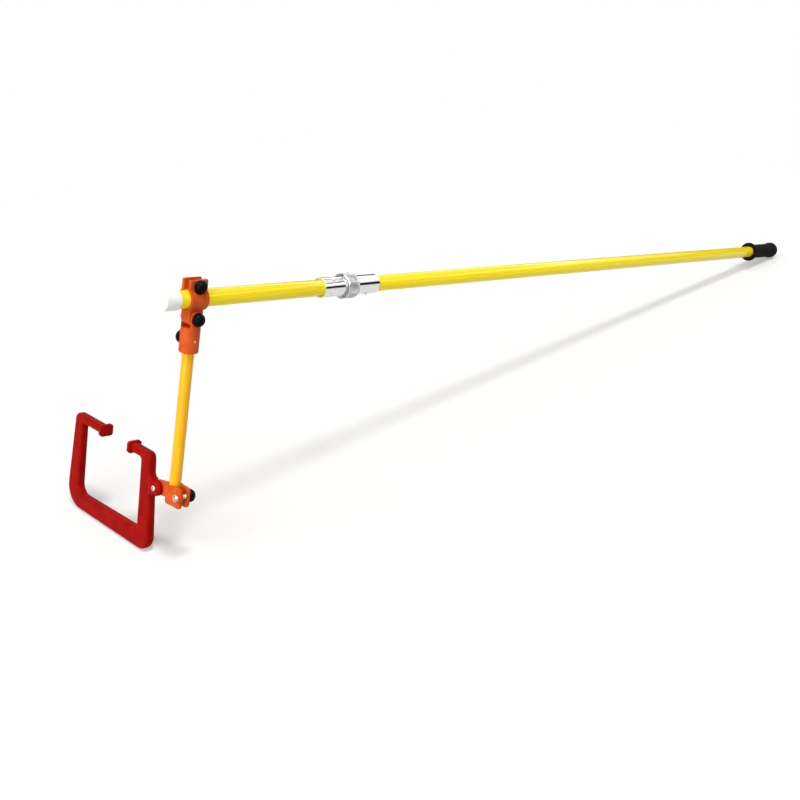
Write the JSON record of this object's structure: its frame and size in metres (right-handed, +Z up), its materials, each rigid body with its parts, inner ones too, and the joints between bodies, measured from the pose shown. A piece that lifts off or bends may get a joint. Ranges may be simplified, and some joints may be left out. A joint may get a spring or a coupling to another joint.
{
  "type": "insulated installation pole",
  "caption": "Two-piece insulated pole with a screwed coupling, a clamp-on hinged rod at its head and a swivelling C-shaped holder for placing line hardware.",
  "frame": {"origin": "centre of the bounding box at floor level, with the tool standing on the foot of its holder and the end of its grip", "axes": "+Z up; +X along the floor from the head of the pole towards its grip; +Y from the pole towards the holder's side"},
  "size_m": [2.1818, 0.3434, 0.5014],
  "materials": {
    "pole_fibreglass": "gloss",
    "rod_fibreglass": "gloss",
    "orange_nylon": "satin",
    "red_coated_alloy": "satin",
    "black_plastic": "satin",
    "black_rubber": "matte",
    "white_plastic": "satin",
    "polished_alloy": "polished",
    "knurled_alloy": "satin",
    "plated_steel": "satin"
  },
  "bodies": {
    "rear_pole": {"rear_tube": "pole_fibreglass", "rear_ferrule": "polished_alloy", "rear_rivet": "plated_steel", "grip": "black_rubber"},
    "front_pole": {"front_tube": "pole_fibreglass", "front_ferrule": "polished_alloy", "front_rivet": "plated_steel", "front_cap": "white_plastic"},
    "coupling_nut": {"coupling_nut": "knurled_alloy"},
    "head_clamp": {"head_clamp": "orange_nylon", "head_clamp_washer": "plated_steel", "head_clamp_nut": "plated_steel"},
    "head_clamp_knob": {"head_clamp_bolt": "plated_steel", "head_clamp_knob": "black_plastic"},
    "rod_arm": {"rod_socket": "orange_nylon", "rod": "rod_fibreglass", "hinge_washer": "plated_steel", "hinge_nut": "plated_steel"},
    "hinge_knob": {"hinge_bolt": "plated_steel", "hinge_knob": "black_plastic"},
    "socket_knob": {"socket_bolt": "plated_steel", "socket_knob": "black_plastic"},
    "rod_clamp": {"rod_clamp": "orange_nylon", "rod_clamp_nut": "plated_steel", "pivot_pin": "plated_steel", "pivot_washer": "plated_steel"},
    "rod_clamp_knob": {"rod_clamp_bolt": "plated_steel", "rod_clamp_knob": "black_plastic"},
    "holder": {"holder_frame": "red_coated_alloy"}
  },
  "joints": [
    {"name": "section_pull", "type": "slide", "parent": "rear_pole", "child": "front_pole", "axis": [-0.9771, 0, 0.2127], "range_m": [0, 0.05]},
    {"name": "coupling_nut_turn", "type": "hinge", "parent": "front_pole", "child": "coupling_nut", "pos_m": [-0.64665, -0.13815, 0.39349], "axis": [0.9771, 0, -0.2127], "continuous": true},
    {"name": "head_clamp_slide", "type": "slide", "parent": "front_pole", "child": "head_clamp", "axis": [0.9771, 0, -0.2127], "range_m": [-0.014, 0.259]},
    {"name": "head_clamp_knob_turn", "type": "hinge", "parent": "head_clamp", "child": "head_clamp_knob", "pos_m": [-0.97115, -0.13815, 0.48715], "axis": [0, 1, 0], "continuous": true},
    {"name": "rod_swing", "type": "hinge", "parent": "head_clamp", "child": "rod_arm", "pos_m": [-0.98361, -0.13815, 0.4346], "axis": [0, 1, 0], "range_deg": [-70, 70]},
    {"name": "hinge_knob_turn", "type": "hinge", "parent": "rod_arm", "child": "hinge_knob", "pos_m": [-0.98361, -0.13815, 0.4346], "axis": [0, 1, 0], "continuous": true},
    {"name": "socket_knob_turn", "type": "hinge", "parent": "rod_arm", "child": "socket_knob", "pos_m": [-0.99205, -0.13815, 0.39806], "axis": [0, 1, 0], "continuous": true},
    {"name": "rod_clamp_slide", "type": "slide", "parent": "rod_arm", "child": "rod_clamp", "axis": [0.225, 0, 0.9744], "range_m": [0, 0.18]},
    {"name": "rod_clamp_knob_turn", "type": "hinge", "parent": "rod_clamp", "child": "rod_clamp_knob", "pos_m": [-1.0529, -0.16065, 0.1345], "axis": [0.9744, 0, -0.225], "continuous": true},
    {"name": "holder_swivel", "type": "hinge", "parent": "rod_clamp", "child": "holder", "pos_m": [-1.05515, -0.09015, 0.12475], "axis": [0.9744, 0, -0.225], "range_deg": [-40, 40]}
  ]
}
